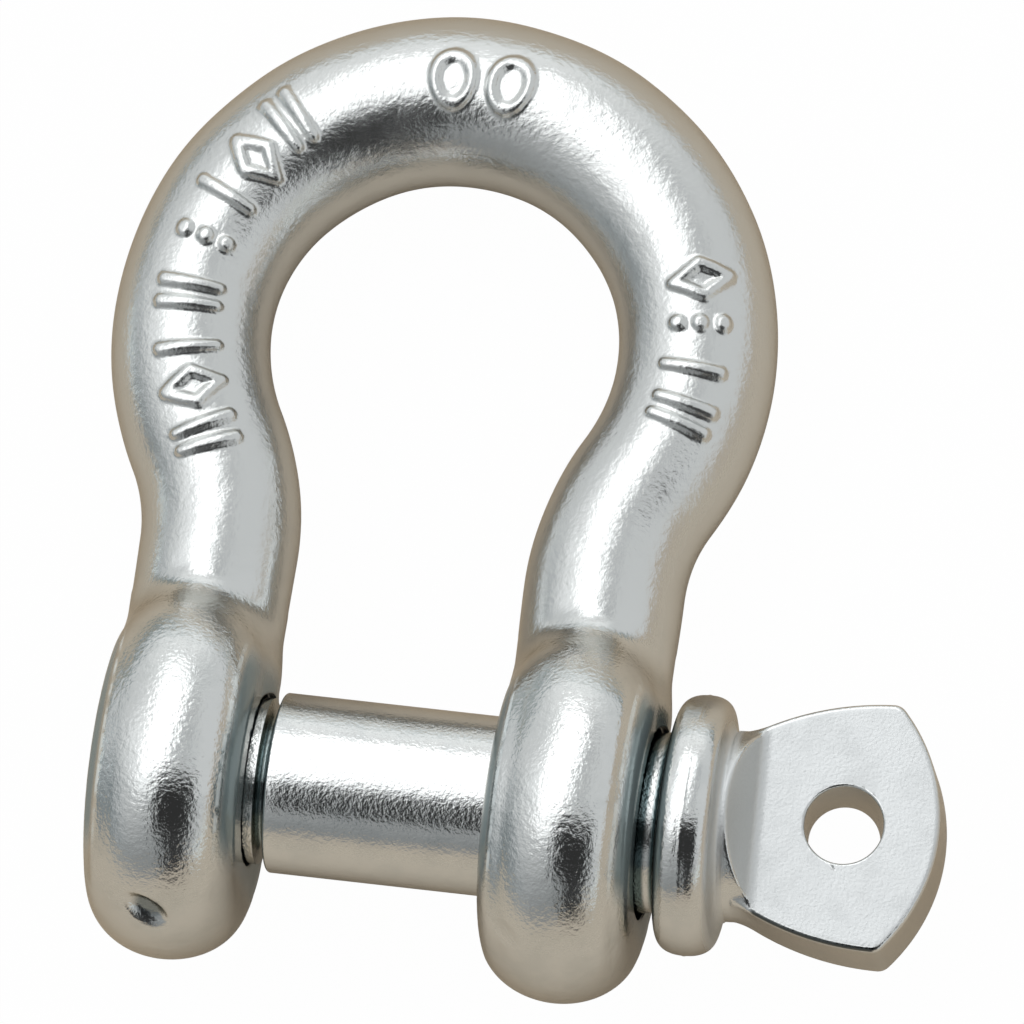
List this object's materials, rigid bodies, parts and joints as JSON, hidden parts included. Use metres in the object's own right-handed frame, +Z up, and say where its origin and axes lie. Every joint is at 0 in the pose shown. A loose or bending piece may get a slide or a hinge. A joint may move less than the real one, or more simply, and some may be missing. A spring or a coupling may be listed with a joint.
{
  "type": "screw pin anchor shackle",
  "caption": "Forged anchor shackle: a round bow that opens above a narrower throat, closed by a screw pin with a collar and a drilled eye plate; zinc plated.",
  "frame": {"origin": "centre of the footprint, on the surface that the shackle lies on", "axes": "+X along the screw pin towards its eye plate, +Y along the surface from the pin to the crown, +Z up"},
  "size_m": [0.0484, 0.0529, 0.019],
  "materials": {
    "plated_bow": "bright zinc plate over forged steel",
    "plated_pin": "bright zinc plate over forged and turned steel"
  },
  "bodies": {
    "bow_body": {"bow": "plated_bow"},
    "pin_body": {"screw_pin": "plated_pin"}
  },
  "joints": [
    {"name": "pin_withdrawal", "type": "slide", "parent": "bow_body", "child": "pin_body", "axis": [1, 0, 0], "range_m": [-0.0007, 0.031]}
  ]
}
